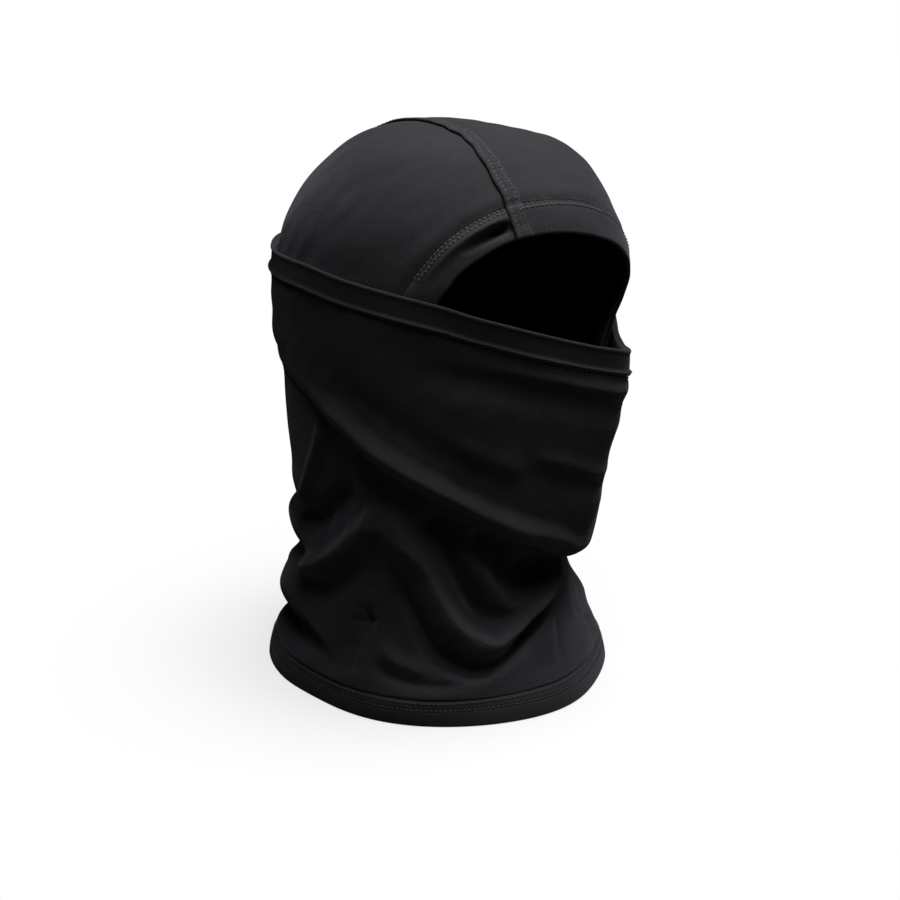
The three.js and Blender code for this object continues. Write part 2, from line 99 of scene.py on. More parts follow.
APEX_LEVEL = HOOD[-1][0]
HEM_HEIGHT = 13.4        # bottom hem
MASK_HEM_HEIGHT = 12.4   # top hem of the mask
BROW_SEAM_KNOT = 8       # knot of the brow band where its two parts meet
NOSE_RADIUS = 7.0
CLOTH, THIN_CLOTH = 1.0, 0.7    # thicknesses
BAND_RADIUS = 1.15       # half thickness of the brow band and the mask's top hem
# Millimetres to a degree of angle, for each part
FOLD_ARC, BROW_ARC, CROWN_ARC, MASK_ARC, NECK_ARC, HEM_ARC = 1.25, 1.3, 1.28, 1.45, 1.24, 1.5

# Folds: height (negative for a valley), width above and below the line, shares of its length over
# which it fades in and out, downward droop per mm of height, line of (angle, level).
# Where the angle increases along the line, above is up.
HANGING_FOLD = [   # a big U across the front of the neck
    (-78, 116), (-76.7, 111), (-74.8, 105), (-71, 95.7), (-64, 86), (-58.5, 75), (-55, 64.6),
    (-50.4, 53), (-45, 45.6), (-36, 38.2), (-29, 40.7), (-20.7, 45), (-11.6, 51.3), (-3.5, 57.8),
    (3.7, 63.8), (14, 71), (28, 80)]
NECK_FOLDS = [
    # the valley below the big U
    (-7.5, 5.5, 3.8, 0.25, 0.3, 0, [
        (-75, 80), (-72.5, 70), (-69.5, 62), (-62.2, 45.6), (-56.5, 35), (-46, 27), (-37, 28.5),
        (-29, 33), (-21, 38.5), (-12, 45), (-4, 51.5), (4, 57.5)]),
    # the smaller fold inside it, and the hollows round that
    (3.6, 3.4, 5.0, 0.30, 0.3, 0.1, [
        (-47, 99), (-44, 91), (-39, 79.2), (-32, 64.8), (-25.5, 54.5), (-16.4, 54), (-5.8, 59),
        (3.1, 64), (12, 71)]),
    (-6.5, 5.5, 3.6, 0.12, 0.3, 0, [
        (-66, 106), (-60, 97), (-53, 85), (-47, 72), (-42, 59.5), (-36, 50.5), (-30, 49), (-22, 51)]),
    (-4.5, 9.0, 9.0, 0.2, 0.3, 0, [(-66, 112), (-56, 104), (-46, 95), (-36, 87), (-26, 80)]),
    (-8.5, 10, 8, 0.1, 0.2, 0, [
        (-40, 100), (-31, 84), (-21, 68), (-10, 65), (0, 69), (12, 75), (26, 82)]),
    # from the nape up to the right side seam, with a hollow on each side
    (8.0, 3.2, 9.0, 0.5, 0.12, 0.25, [
        (-162, 61), (-146, 58), (-132, 59.5), (-121.6, 63.8), (-109.7, 72.7), (-101, 82.1),
        (-93.4, 93.4), (-85.1, 105.3), (-79, 114.6)]),
    (-7.5, 9, 6, 0.3, 0.25, 0, [(-92, 122), (-99, 110), (-108, 98), (-118, 88), (-132, 82)]),
    (-4.0, 8, 7, 0.3, 0.3, 0, [(-84, 84), (-95, 72), (-106, 60), (-120, 52), (-138, 50)]),
    # the ridge down the right side of the nape
    (3.6, 3.2, 3.6, 0.2, 0.3, 0, [
        (-103, 154), (-104.7, 148.4), (-110.4, 130.2), (-119.5, 107.4), (-127.6, 94.2), (-138, 86)]),
    # creases towards the hem
    (-3.2, 4.0, 5.0, 0.2, 0.25, 0, [(-130, 31), (-116, 29), (-106, 25), (-99, 20), (-93, 15)]),
    (-2.0, 2.6, 3.6, 0.2, 0.3, 0, [
        (-84, 32), (-78, 25), (-70, 21.5), (-61, 20), (-52, 20.5), (-44, 22)]),
    (2.0, 4.0, 3.0, 0.3, 0.3, 0, [(-82, 40), (-75, 32), (-66, 28), (-58, 27)]),
    (-1.3, 1.8, 2.2, 0.3, 0.3, 0, [(-1, 41), (-4, 33), (-7, 25), (-9, 19)]),
    (-1.2, 1.6, 2.0, 0.3, 0.3, 0, [(14, 39), (19, 32), (25, 26), (31, 22)]),
    # long soft folds on the wearer's left
    (1.4, 5.0, 6.0, 0.35, 0.35, 0, [(12, 62), (14, 50), (12, 38), (12, 26)]),
    (-5.6, 11.0, 10.0, 0.2, 0.3, 0, [(24, 92), (30, 82), (36, 70), (38, 58), (36, 46), (32, 32)]),
    (2.2, 6.0, 6.5, 0.2, 0.25, 0, [(44, 104), (47, 84), (45, 64), (41, 48), (40, 34), (44, 22)]),
    (-3.6, 8.0, 7.0, 0.2, 0.25, 0, [(60, 112), (63, 88), (60, 66), (55, 48), (56, 30)]),
    (4.6, 7.0, 5.0, 0.4, 0.3, 0.25, [
        (80, 116), (86, 106), (94, 92), (104, 78), (116, 68), (132, 62), (150, 61)]),
    (-3.4, 8, 7, 0.3, 0.3, 0, [(90, 74), (101, 62), (114, 53), (130, 50)]),
    (-3.0, 9, 8, 0.3, 0.3, 0, [(102, 120), (112, 106), (124, 94), (140, 88)]),
    (-2.8, 5.0, 5.0, 0.25, 0.3, 0, [(70, 46), (80, 36), (92, 30), (106, 28), (122, 30)]),
    # short creases beside the dimple in the right side seam
    (-1.2, 1.6, 1.6, 0.3, 0.3, 0, [(-97, 44), (-92, 46), (-87.5, 46.5), (-82, 49)]),
    (-1.0, 1.5, 1.5, 0.4, 0.1, 0, [(-93, 56), (-89, 51), (-87, 46)])]
# Rolls at the nape: level, height, width, lean
NAPE_ROLLS = [
    (77, 2.8, 7.5, 5), (59.5, -5.0, 5.0, 0), (42, 4.6, 8.5, 3), (25.5, -5.0, 5.0, -3),
    (100, 1.5, 8, 2), (89, -2.0, 4, 0)]
MASK_FOOT_FOLD = [   # runs from ear to ear above the joining seam
    (-116, 166), (-108, 163), (-98.9, 157.6), (-87.7, 147.4), (-74.4, 137.2), (-60, 126),
    (-44.8, 114), (-28.2, 102), (-18.9, 96), (-11, 89.6), (-4.9, 83.4), (0, 82), (4.9, 83.4),
    (11, 89.6), (19, 96), (28, 102), (45, 114), (60, 126), (74, 137), (88, 147), (104, 159),
    (114, 165)]
MASK_FOLDS = [
    (-2.0, 7.0, 5.0, 0.2, 0.35, 0, [
        (-104, 173), (-92, 163.5), (-80, 155), (-66, 144), (-52, 133.5), (-38, 122.5), (-24, 112)]),
    (1.2, 5, 5, 0.3, 0.4, 0, [(-62, 151), (-50, 142), (-36, 132), (-24, 124)]),
    # the hollow under the top hem beside the nose, and the soft bulge above it
    (-2.9, 5.5, 7.0, 0.25, 0.2, 0, [
        (-76, 187), (-64.6, 181), (-45, 175), (-31, 169.5), (-15.6, 162.5), (-6, 157), (4, 155.5),
        (14, 157)]),
    (1.3, 3.4, 3.6, 0.3, 0.3, 0, [
        (-58, 187), (-44, 183), (-30, 177.5), (-15, 170.5), (-4, 166), (12, 166)]),
    (1.7, 3.6, 3.6, 0.35, 0.3, 0, [(-30, 138), (-20, 133.3), (-11, 127.2), (-2.7, 122), (8, 122)]),
    (-1.7, 4.5, 4.5, 0.35, 0.3, 0, [(-34, 129), (-22, 124), (-10, 117.5), (2, 114), (10, 115)]),
    # looser folds on the wearer's left
    (-3.2, 6.5, 6.0, 0.2, 0.3, 0, [(16, 158), (30, 166), (46, 176), (62, 186)]),
    (-2.4, 7, 7, 0.25, 0.3, 0, [(24, 124), (40, 134), (56, 146), (74, 160), (90, 170)]),
    (1.6, 6, 6, 0.3, 0.3, 0, [(20, 140), (38, 150), (54, 162), (70, 174)])]
# Rolls at the back of the mask: angle, level, height, width
MASK_ROLLS = [
    (150, 186, 1.2, 8), (150, 176, -1.4, 5), (-150, 184, 1.0, 9), (-148, 174, -1.2, 5),
    (180, 196, -0.8, 6)]
# Section of the felled crown seam: mm to the wearer's left, height. Its right edge is a raised
# fold, its left edge feathers out.
FELL_SECTION = np.array([
    (-0.9, 0.05), (-1.35, 0.45), (-1.45, 0.95), (-1.1, 1.42), (-0.4, 1.55), (0.4, 1.3),
    (0.95, 0.95), (1.5, 1.1), (2.4, 1.15), (3.2, 1.05), (3.9, 0.8), (4.4, 0.62), (5.0, 0.7),
    (5.7, 0.5), (6.1, 0.1), (5.6, -0.35), (3.5, -0.45), (1.0, -0.45), (-0.4, -0.4)])


# ---------------------------------------------------------------- curves and surfaces
def monotone_cubic(x, y, at):
    """Values at `at` of a cubic through (x, y) that never overshoots its points."""
    step = np.diff(x)
    rise = np.diff(y) / step
    slope = np.zeros(len(x))
    slope[0], slope[-1] = rise[0], rise[-1]
    for i in range(1, len(x) - 1):
        if rise[i - 1] * rise[i] > 0:
            before, after = 2 * step[i] + step[i - 1], step[i] + 2 * step[i - 1]
            slope[i] = (before + after) / (before / rise[i - 1] + after / rise[i])
    i = np.clip(np.searchsorted(x, at, side="right") - 1, 0, len(x) - 2)
    s = (at - x[i]) / step[i]
    return ((2 * s**3 - 3 * s**2 + 1) * y[i] + (s**3 - 2 * s**2 + s) * step[i] * slope[i]
            + (3 * s**2 - 2 * s**3) * y[i + 1] + (s**3 - s**2) * step[i] * slope[i + 1])


class Table:
    """Smooth lookup of a table's other columns from its first."""
    def __init__(self, rows):
        rows = np.array(rows, float)
        self.keys = np.linspace(rows[0, 0], rows[-1, 0], 8001)
        self.columns = [monotone_cubic(rows[:, 0], column, self.keys) for column in rows.T[1:]]

    def __call__(self, key):
        return [np.interp(key, self.keys, column) for column in self.columns]


hood, mask = Table(HOOD), Table(MASK)
joining_table, rim_table = Table(JOINING_SEAM), Table(MASK_RIM)
crown_table, side_table = Table(CROWN_SEAM), Table(SIDE_SEAM)


def wrap(angle):
    return (np.asarray(angle, float) + 180.0) % 360.0 - 180.0


def joining_level(angle):
    turn = np.mod(angle, 360.0)
    return joining_table(np.where(turn > 180, 360 - turn, turn))[0]


def rim_level(angle):
    return rim_table(wrap(angle))[0]


def crown_seam_x(y):
    return crown_table(y)[0]


def side_angle(level):
    return side_table(level)[0]


def ramp(x):
    return np.clip(x, 0, 1)


def smooth_ramp(x):
    x = ramp(x)
    return x * x * (3 - 2 * x)


def bell(offset, width):
    return np.exp(-(offset / width)**2)


def wave(degrees):
    return np.sin(np.radians(degrees))


def unit(vectors):
    return vectors / np.maximum(np.linalg.norm(vectors, axis=-1, keepdims=True), 1e-9)


def grid(u, v):
    return np.meshgrid(u, v, indexing="ij")


def ring(count):
    """Angles once round the head from the nape."""
    return np.linspace(0, 360, count, endpoint=False) - 180.0


def pairs(u, v):
    return np.stack(np.broadcast_arrays(u, v), -1)


def point_on(form, angle, level):
    """Point of the hood or mask form, without folds."""
    z, centre_y, front, back, half_width, *stretched = form(np.asarray(level, float))
    turn = np.radians(angle)
    cosine = np.cos(turn)
    x = half_width * np.sin(turn)
    forward = np.where(cosine > 0, front, back) * cosine
    if stretched:   # straight from the rounded nose to where it touches the cheeks' ellipse
        reach = np.maximum(stretched[0], front * 1.01)
        touch_y = front * front / reach
        touch_x = half_width * np.sqrt(1 - (touch_y / front)**2)
        slope = (reach - touch_y) / touch_x
        straight = reach - slope * np.hypot(x, NOSE_RADIUS)
        taut = (cosine > 0) & (np.abs(x) < touch_x)
        forward = np.where(taut, np.maximum(forward, straight), forward)
    return np.stack([x, centre_y - forward, z + 0 * turn], -1)


def normal_on(form, angle, level):
    angle, level = np.asarray(angle, float), np.asarray(level, float)
    if form is hood:   # the hood closes to a point at its apex
        level = np.minimum(level, 340.0)
    along = point_on(form, angle + 0.5, level) - point_on(form, angle - 0.5, level)
    up = point_on(form, angle, level + 0.8) - point_on(form, angle, level - 0.8)
    return unit(np.cross(along, up))


def raised(form, angle, level, out, drop=0.0):
    """Point `out` mm off the form and `drop` mm lower."""
    points = point_on(form, angle, level) + normal_on(form, angle, level) * out[..., None]
    points[..., 2] -= drop
    return points


def curve_at(points, knot):
    """Catmull-Rom curve through points, at knot numbers."""
    points, knot = np.array(points, float), np.asarray(knot, float)
    last = len(points) - 1
    i = np.clip(knot.astype(int), 0, last - 1)
    f = (knot - i)[..., None]
    a, b, c, d = (points[np.clip(j, 0, last)] for j in (i - 1, i, i + 1, i + 2))
    return 0.5 * ((2 * b) + (-a + c) * f + (2 * a - 5 * b + 4 * c - d) * f**2
                  + (-a + 3 * b - 3 * c + d) * f**3)


def sample_curve(points, count):
    return curve_at(points, np.linspace(0, len(points) - 1, count))


def nearest_on(line, angle, level, arc):
    """Signed mm to a line of (angle, level), positive on its left, and the place 0..1 along it."""
    angle, level = np.asarray(angle, float), np.asarray(level, float)
    steps = np.diff(line, axis=0) * [arc, 1]
    lengths = np.linalg.norm(steps, axis=1)
    run = np.concatenate([[0], np.cumsum(lengths)])
    best = np.full(angle.shape, 1e9)
    sign, place = np.ones(angle.shape), np.zeros(angle.shape)
    for i, (step_x, step_y) in enumerate(steps):
        x, y = (angle - line[i, 0]) * arc, level - line[i, 1]
        t = ramp((x * step_x + y * step_y) / max(lengths[i]**2, 1e-9))
        distance = np.hypot(x - t * step_x, y - t * step_y)
        nearer = distance < best
        best = np.where(nearer, distance, best)
        sign = np.where(nearer, np.where(step_x * y - step_y * x >= 0, 1, -1), sign)
        place = np.where(nearer, (run[i] + t * lengths[i]) / run[-1], place)
    return best * sign, place


def ridge(angle, level, height, above, below, fade_in, fade_out, path):
    """Height of one fold; the arguments are the columns of the fold tables."""
    line = sample_curve(path, max(24, 6 * len(path)))
    distance, place = nearest_on(line, angle, level, FOLD_ARC)
    fade = smooth_ramp(place / fade_in) * smooth_ramp((1 - place) / fade_out)
    return height * bell(distance, np.where(distance > 0, above, below)) * fade


def add_folds(folds, angle, level, out, drop):
    """Adds a table of folds to the arrays out and drop."""
    for height, above, below, fade_in, fade_out, droop, path in folds:
        fold = ridge(angle, level, height, above, below, fade_in, fade_out, path)
        out += fold
        drop += droop * fold


def noise(points, scale, seed):
    """Smooth value in about -1..1 from waves in seeded directions."""
    count = 6
    random = np.random.RandomState(seed)
    total = np.zeros(points.shape[:-1])
    for _ in range(count):
        way = random.normal(size=3)
        way /= np.linalg.norm(way)
        frequency = 2 * np.pi / (scale * random.uniform(0.7, 1.5))
        total += np.sin(points @ way * frequency + random.uniform(0, 6.28))
    return total / math.sqrt(count)


# ---------------------------------------------------------------- mesh helpers
def make(name, verts, faces, material):
    mesh = bpy.data.meshes.new(name)
    faces = [tuple(map(int, face)) for face in faces]
    mesh.from_pydata((np.asarray(verts, float) / 1000).tolist(), [], faces)
    mesh.validate()
    mesh.update()
    ob = bpy.data.objects.new(name, mesh)
    bpy.context.scene.collection.objects.link(ob)
    mesh.materials.append(material)
    mesh.polygons.foreach_set("use_smooth", [True] * len(mesh.polygons))
    return ob


def set_uv(ob, uv):
    """One UV per vertex, in mm: the knit's own wale and course directions."""
    mesh = ob.data
    layer = mesh.uv_layers.new(name="knit")
    index = np.zeros(len(mesh.loops), int)
    mesh.loops.foreach_get("vertex_index", index)
    layer.data.foreach_set("uv", np.asarray(uv, float)[index].ravel())


def grid_normals(points, closed):
    if closed:
        along = np.roll(points, -1, 0) - np.roll(points, 1, 0)
    else:
        along = np.gradient(points, axis=0)
    return unit(np.cross(along, np.gradient(points, axis=1)))


def sheet(name, points, thickness, material, closed, uv):
    """Solid from an outer grid [along +angle, upwards], thickened inwards."""
    inner = points - grid_normals(points, closed) * thickness
    verts = np.concatenate([points.reshape(-1, 3), inner.reshape(-1, 3)])
    back = points.shape[0] * points.shape[1]   # index step from the outer to the inner face
    index = np.arange(back).reshape(points.shape[:2])
    here, there = (index, np.roll(index, -1, 0)) if closed else (index[:-1], index[1:])
    outer = np.stack([here[:, :-1], there[:, :-1], there[:, 1:], here[:, 1:]], -1).reshape(-1, 4)

    def rim(first, second):
        return np.stack([first, first + back, second + back, second], -1)

    faces = [outer, outer[:, ::-1] + back,
             rim(here[:, 0], there[:, 0]), rim(there[:, -1], here[:, -1])]
    if not closed:
        faces += [rim(index[0, 1:], index[0, :-1])[:, [3, 0, 1, 2]],
                  rim(index[-1, :-1], index[-1, 1:])]
    ob = make(name, verts, np.concatenate(faces), material)
    ob.data.set_sharp_from_angle(angle=math.radians(62))
    set_uv(ob, np.concatenate([uv.reshape(-1, 2)] * 2))


def sweep(name, loops, material, closed, uv):
    """Solid from loops[section, point]: each section is a closed loop of points."""
    verts = loops.reshape(-1, 3)
    index = np.arange(len(verts)).reshape(loops.shape[:2])
    across = np.roll(index, -1, 1)
    if closed:
        corners = [index, np.roll(index, -1, 0), np.roll(across, -1, 0), across]
    else:
        corners = [index[:-1], index[1:], across[1:], across[:-1]]
    faces = np.stack(corners, -1).reshape(-1, 4).tolist()
    if not closed:
        faces += [index[0].tolist(), index[-1][::-1].tolist()]
    ob = make(name, verts, faces, material)
    # a negative volume means that the faces look inwards
    quads = np.array([face[:4] for face in faces[:len(verts)]])
    a, b, c, d = verts[quads].transpose(1, 0, 2)
    if (a * (np.cross(b, c) + np.cross(c, d))).sum() < 0:
        ob.data.flip_normals()
    set_uv(ob, uv.reshape(-1, 2))


def folded_band(skin, normals, edge_normal, edge_out, radius):
    """Sections of a band folded at its last column: the skin, a half-round edge, the inside."""
    edge = skin[:, -1]
    roll = [edge - edge_normal * radius
            + radius * (edge_normal * np.cos(turn) + edge_out * np.sin(turn))
            for turn in np.linspace(0, np.pi, 9)[1:-1]]
    inner = (skin - normals * 2 * radius)[:, ::-1]
    inner[:, 0] = edge - edge_normal * 2 * radius
    return np.concatenate([skin, np.stack(roll, 1), inner], 1)


def clip(verts, tris, field, extra):
    """The part of a triangle mesh where field > 0. extra: per-vertex columns carried along."""
    columns = np.concatenate([verts, extra], 1)
    keep = field > 0
    whole = keep[tris].all(1)
    cut_points, cache, pieces = [], {}, []

    def cut(a, b):
        i, j = key = (min(a, b), max(a, b))
        if key not in cache:
            t = min(max(field[i] / (field[i] - field[j]), 0.0), 1.0)
            cache[key] = len(verts) + len(cut_points)
            cut_points.append(columns[i] * (1 - t) + columns[j] * t)
        return cache[key]

    for tri in tris[keep[tris].any(1) & ~whole].tolist():
        kept = [keep[i] for i in tri]
        lone = sum(kept) == 1
        i = kept.index(lone)
        a, b, c = tri[i], tri[(i + 1) % 3], tri[(i + 2) % 3]
        on_b, on_c = cut(a, b), cut(a, c)
        pieces += [(a, on_b, on_c)] if lone else [(b, c, on_c), (b, on_c, on_b)]
    columns = np.concatenate([columns, np.array(cut_points)])
    tris = np.concatenate([tris[whole], np.array(pieces)])
    used, columns, tris = drop_unused(columns, tris)
    return columns[:, :3], tris, columns[:, 3:]


def drop_unused(rows, tris):
    used = np.unique(tris)
    number = np.full(len(rows), -1)
    number[used] = np.arange(len(used))
    return used, rows[used], number[tris]


def weld_small(verts, tris, extra, nearest):
    """Merges vertices nearer than this along edges, so that cut slivers vanish."""
    edges = np.concatenate([tris[:, [0, 1]], tris[:, [1, 2]], tris[:, [2, 0]]])
    edges = np.unique(np.sort(edges, 1), axis=0)
    lengths = np.linalg.norm(verts[edges[:, 0]] - verts[edges[:, 1]], axis=1)
    parent = np.arange(len(verts))

    def root(i):
        while parent[i] != i:
            parent[i] = parent[parent[i]]
            i = parent[i]
        return i

    for a, b in edges[lengths < nearest].tolist():
        root_a, root_b = root(a), root(b)
        if root_a != root_b:
            parent[max(root_a, root_b)] = min(root_a, root_b)
    tris = np.array([root(i) for i in range(len(verts))])[tris]
    a, b, c = tris.T
    used, verts, tris = drop_unused(verts, tris[(a != b) & (b != c) & (a != c)])
    return verts, tris, extra[used]


def thicken(name, verts, tris, thickness, material, uv):
    """Solid from an open triangle sheet facing out, with sharp rims."""
    a, b, c = (verts[tris[:, k]] for k in range(3))
    face_normals = np.cross(b - a, c - a)
    normals = np.zeros_like(verts)
    for k in range(3):
        np.add.at(normals, tris[:, k], face_normals)
    back = len(verts)
    edges = np.concatenate([tris[:, [0, 1]], tris[:, [1, 2]], tris[:, [2, 0]]])
    _, inverse, uses = np.unique(np.sort(edges, 1), axis=0, return_inverse=True,
                                 return_counts=True)
    rim = edges[uses[inverse.ravel()] == 1]
    side = np.stack([rim[:, 1], rim[:, 0], rim[:, 0] + back, rim[:, 1] + back], 1)
    faces = tris.tolist() + (tris[:, ::-1] + back).tolist() + side.tolist()
    verts = np.concatenate([verts, verts - unit(normals) * thickness])
    ob = make(name, verts, faces, material)
    sharp = {tuple(sorted(edge)) for edge in np.concatenate([rim, rim + back]).tolist()}
    for edge in ob.data.edges:
        if tuple(sorted(edge.vertices)) in sharp:
            edge.use_edge_sharp = True
    set_uv(ob, np.concatenate([uv, uv]))


# One stitch: rings as (place along it -1..1, share of the radius), between two tips
STITCH_RINGS = [(-0.82, 0.72), (-0.4, 1.0), (0.4, 1.0), (0.82, 0.72)]
STITCH_SIDES = 6
STITCH_RADIUS = 0.3
STITCH_SHARE = 0.74      # of the pitch
STITCH_ARCH = 0.12       # rise of its middle
STITCH_FLATNESS = 1.15   # width to height


def stitch_faces():
    """Faces of one stitch, and its number of vertices."""
    sides, rings = STITCH_SIDES, len(STITCH_RINGS)
    end, last = 1 + rings * sides, 1 + (rings - 1) * sides
    around = [(j, (j + 1) % sides) for j in range(sides)]
    faces = [(0, 1 + k, 1 + j) for j, k in around]
    for first in range(1, last, sides):
        faces += [(first + j, first + k, first + k + sides, first + j + sides) for j, k in around]
    return faces + [(end, last + j, last + k) for j, k in around], end + 1


def stitches(name, rows, normals, pitch=2.3, closed=False, zigzag=0.0):
    """Short raised stitches along each row of points, turned to and fro by zigzag."""
    verts = []
    for number, (row, normal) in enumerate(zip(rows, normals)):
        if closed:
            row, normal = np.vstack([row, row[:1]]), np.vstack([normal, normal[:1]])
        run = np.concatenate([[0], np.cumsum(np.linalg.norm(np.diff(row, axis=0), axis=1))])
        count = int(run[-1] / pitch)
        centre = (np.arange(count) + 0.5 + 0.25 * (number % 2)) * run[-1] / count
        centre = centre[centre < run[-1] - pitch * 0.4]

        def along(place, values):
            return np.stack([np.interp(place, run, values[:, k]) for k in range(3)], -1)

        reach = pitch * STITCH_SHARE / 2
        chord = along(centre + reach, row) - along(centre - reach, row)
        middle, out = along(centre, row), unit(along(centre, normal))
        ahead = unit(chord)
        turn = zigzag * np.where(np.arange(len(centre)) % 2, 1, -1)[:, None]
        ahead = unit(ahead + np.cross(out, ahead) * turn)
        across = unit(np.cross(out, ahead))
        ahead = ahead * (np.linalg.norm(chord, axis=1, keepdims=True) / 2)
        sunk = out * (STITCH_RADIUS * 0.5)
        points = [middle - ahead - sunk]
        for place, share in STITCH_RINGS:
            lift = STITCH_ARCH * (1 - place * place) - STITCH_RADIUS * 0.35
            for side in range(STITCH_SIDES):
                angle = 2 * np.pi * side / STITCH_SIDES
                spoke = across * np.cos(angle) * STITCH_FLATNESS + out * np.sin(angle)
                points.append(middle + ahead * place + spoke * STITCH_RADIUS * share + out * lift)
        points.append(middle + ahead - sunk)
        verts.append(np.stack(points, 1).reshape(-1, 3))
    verts = np.concatenate(verts)
    pattern, size = stitch_faces()
    faces = [[base + i for i in face] for base in range(0, len(verts), size) for face in pattern]
    make(name, verts, faces, thread)


# ---------------------------------------------------------------- materials
def add_node(tree, kind, inputs=(), **settings):
    """Adds a shader node; inputs maps a name or number to a value or to a socket to link."""
    node = tree.nodes.new("ShaderNode" + kind)
    for key, value in settings.items():
        setattr(node, key, value)
    for key, value in dict(inputs).items():
        if isinstance(value, bpy.types.NodeSocket):
            tree.links.new(value, node.inputs[key])
        else:
            node.inputs[key].default_value = value
    return node


def add_math(tree, operation, *values):
    return add_node(tree, "Math", enumerate(values), operation=operation).outputs[0]


def add_ramp(tree, value, dark, light, span=(0.0, 1.0)):
    node = add_node(tree, "ValToRGB", {0: value})
    for stop, position, colour in zip(node.color_ramp.elements, span, (dark, light)):
        stop.position, stop.color = position, (*colour, 1)
    return node.outputs[0]


def knit_material(name, dark, light, roughness, sheen, wale=0.95, course=0.8, bump=0.5, fuzz=0.6):
    """Plain knit: wale and course are the stitch's width and height in mm."""
    material = bpy.data.materials.new(name)
    material.use_nodes = True
    tree = material.node_tree
    tree.nodes.clear()

    def calc(operation, *values):
        return add_math(tree, operation, *values)

    place = add_node(tree, "TexCoord").outputs["Object"]

    def noise_texture(scale, detail):
        inputs = {"Scale": scale, "Detail": detail, "Vector": place}
        return add_node(tree, "TexNoise", inputs).outputs[0]

    # V-shaped stitches, in wales along u and courses along v
    uv = add_node(tree, "UVMap", uv_map="knit").outputs[0]
    u, v = add_node(tree, "SeparateXYZ", {0: uv}).outputs[:2]
    off_centre = calc("ABSOLUTE", calc("SUBTRACT", calc("FRACT", calc("DIVIDE", u, wale)), 0.5))
    slanted = calc("ADD", calc("DIVIDE", v, course), calc("MULTIPLY", off_centre, 0.9))
    arch = calc("ABSOLUTE", calc("SINE", calc("MULTIPLY", slanted, math.pi)))
    from_edge = calc("MULTIPLY", calc("SUBTRACT", 0.5, off_centre), 5.0)
    loops = calc("MULTIPLY", arch, calc("SMOOTH_MIN", from_edge, 1.0, 0.3))

    fibres = noise_texture(scale=900, detail=4)
    patches = noise_texture(scale=22, detail=3)
    mottle = noise_texture(scale=160, detail=5)
    # colour: broad patches, finer mottle and a little of the loops
    tone = calc("MULTIPLY_ADD", patches, 0.7, calc("MULTIPLY", mottle, 0.55))
    tone = calc("ADD", tone, calc("MULTIPLY", loops, 0.14))
    height = calc("ADD", calc("MULTIPLY", loops, 1.0), calc("MULTIPLY", fibres, fuzz))
    uneven = add_node(tree, "Bump", {"Strength": 0.25, "Distance": 0.0012, "Height": mottle})
    relief = add_node(tree, "Bump", {
        "Strength": bump, "Distance": 0.00022, "Height": height, "Normal": uneven.outputs[0]})
    surface = add_node(tree, "BsdfPrincipled", {
        "Base Color": add_ramp(tree, tone, dark, light, span=(0.38, 0.98)),
        "Roughness": calc("ADD", calc("MULTIPLY", mottle, 0.16), roughness - 0.08),
        "Sheen Weight": sheen,
        "Sheen Roughness": 0.45,
        "Sheen Tint": (0.80, 0.84, 1.0, 1),
        "Specular IOR Level": 0.18,
        "Normal": relief.outputs[0]})
    add_node(tree, "OutputMaterial", {0: surface.outputs[0]})
    material.diffuse_color = (*light, 1)
    return material


def thread_material(name, dark, light):
    """Twisted thread: mottled colour and fine waves."""
    material = bpy.data.materials.new(name)
    material.use_nodes = True
    tree = material.node_tree
    place = add_node(tree, "TexCoord").outputs["Object"]
    twist = add_node(tree, "TexWave", {"Scale": 900, "Distortion": 1.5, "Vector": place})
    mottle = add_node(tree, "TexNoise", {"Scale": 300, "Vector": place})
    relief = add_node(tree, "Bump", {
        "Strength": 0.5, "Distance": 0.0001, "Height": twist.outputs["Fac"]})
    surface = tree.nodes["Principled BSDF"]
    surface.inputs["Roughness"].default_value = 0.62
    surface.inputs["Sheen Weight"].default_value = 0.04
    colour = add_ramp(tree, mottle.outputs[0], dark, light)
    tree.links.new(colour, surface.inputs["Base Color"])
    tree.links.new(relief.outputs[0], surface.inputs["Normal"])
    return material


mask_knit = knit_material("knit_black", dark=(0.0052, 0.0053, 0.0064),
                          light=(0.0110, 0.0112, 0.0130), roughness=0.88, sheen=0.06)
# painted shade: the crown gets a darker copy of the same knit, to tone down the top light falling on
# it
crown_knit_painted_shade = knit_material("knit_black_crown_painted_shade", dark=(0.0045, 0.0046, 0.0056),
                           light=(0.0096, 0.0098, 0.0114), roughness=0.88, sheen=0.053)
# painted light: the neck gets a lighter copy of the same knit, so its folds read brighter
neck_knit_painted_light = knit_material("knit_black_neck_painted_light", dark=(0.0066, 0.0067, 0.0080),
                          light=(0.0138, 0.0140, 0.0162), roughness=0.86, sheen=0.066)
band_knit = knit_material("knit_black_hem", dark=(0.0048, 0.0049, 0.0060),
                          light=(0.0102, 0.0104, 0.0120), roughness=0.86, sheen=0.06)
# painted shade: the mask's top hem gets a darker copy of the hem knit
top_hem_knit_painted_shade = knit_material("knit_black_top_hem_painted_shade", dark=(0.0034, 0.0035, 0.0042),
                             light=(0.0072, 0.0073, 0.0086), roughness=0.88, sheen=0.05)
# painted light: the bottom hem gets a lighter copy of the hem knit
bottom_hem_knit_painted_light = knit_material("knit_black_bottom_hem_painted_light", dark=(0.0062, 0.0063, 0.0076),
                                light=(0.0128, 0.0130, 0.0150), roughness=0.86, sheen=0.06)
lining_knit = knit_material("knit_black_lining", dark=(0.007, 0.007, 0.0085),
                            light=(0.014, 0.014, 0.0165), roughness=0.9, sheen=0.08,
                            wale=0.7, course=0.6, bump=0.35, fuzz=0.5)
thread = thread_material("thread_black", dark=(0.0030, 0.0030, 0.0038),
                         light=(0.0062, 0.0063, 0.0075))

# ---------------------------------------------------------------- relief of the cloth
BROW_LINE = sample_curve(BROW_STITCH, 400)[::4]


